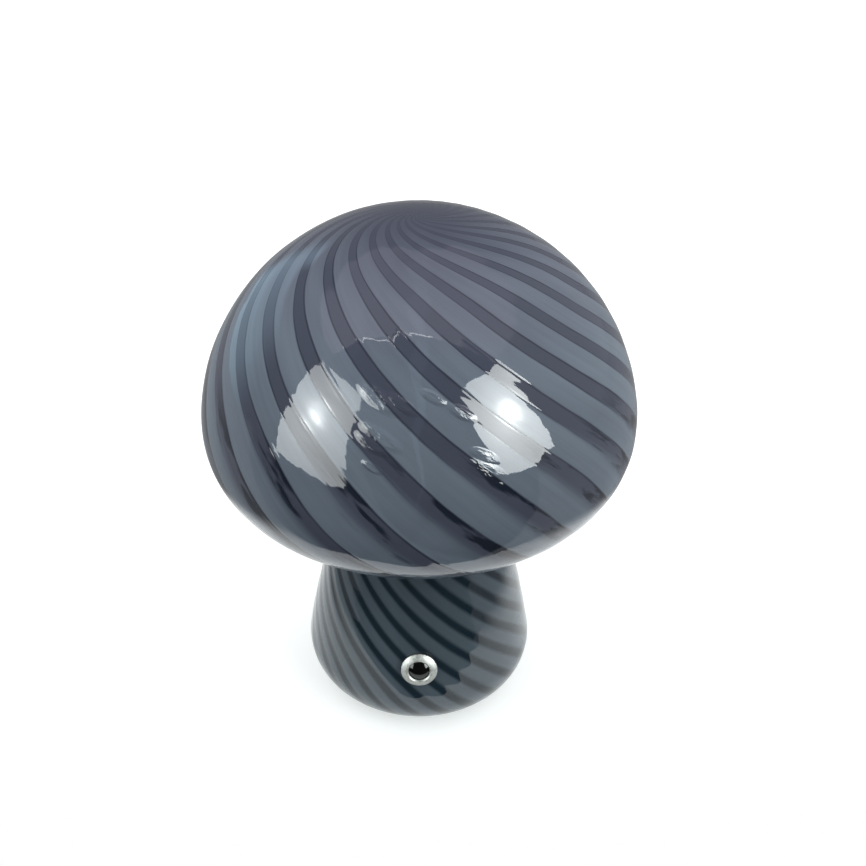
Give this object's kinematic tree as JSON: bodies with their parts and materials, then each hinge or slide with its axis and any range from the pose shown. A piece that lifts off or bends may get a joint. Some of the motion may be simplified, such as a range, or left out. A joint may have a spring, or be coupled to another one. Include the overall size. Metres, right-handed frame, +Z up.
{
  "type": "mushroom table lamp",
  "caption": "Cordless mushroom table lamp: one blown, swirl-striped glass cap and base over a battery light module, with a domed push button in a silver ring.",
  "frame": {"origin": "centre of the foot pad's resting face, on the axis of the glass", "axes": "+Z up the axis of the lamp, -Y out of the front where the push button is, +X to the right seen from the front"},
  "size_m": [0.16, 0.16, 0.2033],
  "materials": {
    "cased_glass": "glossy, opaque cased glass with darker swirled stripes",
    "soft_rubber": "matt black silicone or foam rubber",
    "moulded_black": "fine-textured moulded plastic",
    "zinc_steel": "zinc-plated steel",
    "cell_sleeve": "shrink sleeve",
    "circuit_board": "green solder mask",
    "raw_aluminium": "turned aluminium",
    "white_board": "white solder mask",
    "led_yellow": "phosphor over the light-emitting chips",
    "opal_plastic": "milky light-spreading plastic",
    "satin_silver": "satin silver metal",
    "spring_steel": "spring wire",
    "contact_brass": "bare brass",
    "lead_sleeve": "insulated wire",
    "gloss_black": "polished black plastic"
  },
  "bodies": {
    "root": {"glass_body": "cased_glass", "foot_pad": "soft_rubber", "foot_gasket": "soft_rubber", "base_plate": "moulded_black", "clamp_dogs": "zinc_steel", "clamp_screws": "zinc_steel", "chassis_screws": "zinc_steel", "chassis": "moulded_black", "battery_cell": "cell_sleeve", "cell_pad": "soft_rubber", "control_board": "circuit_board", "board_parts": "moulded_black", "board_screws": "zinc_steel", "charging_socket": "zinc_steel", "stem_tube": "zinc_steel", "stem_nuts": "zinc_steel", "heat_sink": "raw_aluminium", "led_board": "white_board", "led_chips": "led_yellow", "led_board_screws": "zinc_steel", "diffuser": "opal_plastic", "switch_gasket": "soft_rubber", "switch_washer": "soft_rubber", "switch_nut": "zinc_steel", "switch_bezel": "satin_silver", "button_spring": "spring_steel", "contact_block": "moulded_black", "switch_rear_cap": "moulded_black", "switch_terminals": "contact_brass", "led_leads": "lead_sleeve", "battery_leads": "lead_sleeve", "switch_leads": "lead_sleeve"},
    "button": {"button_cap": "gloss_black", "contact_bridge": "contact_brass"}
  },
  "joints": [
    {"name": "button_press", "type": "slide", "parent": "root", "child": "button", "axis": [0, 0.9803, -0.1976], "range_m": [0, 0.0018], "stiffness_N_per_m": 900, "deforming": ["button_spring"]}
  ]
}
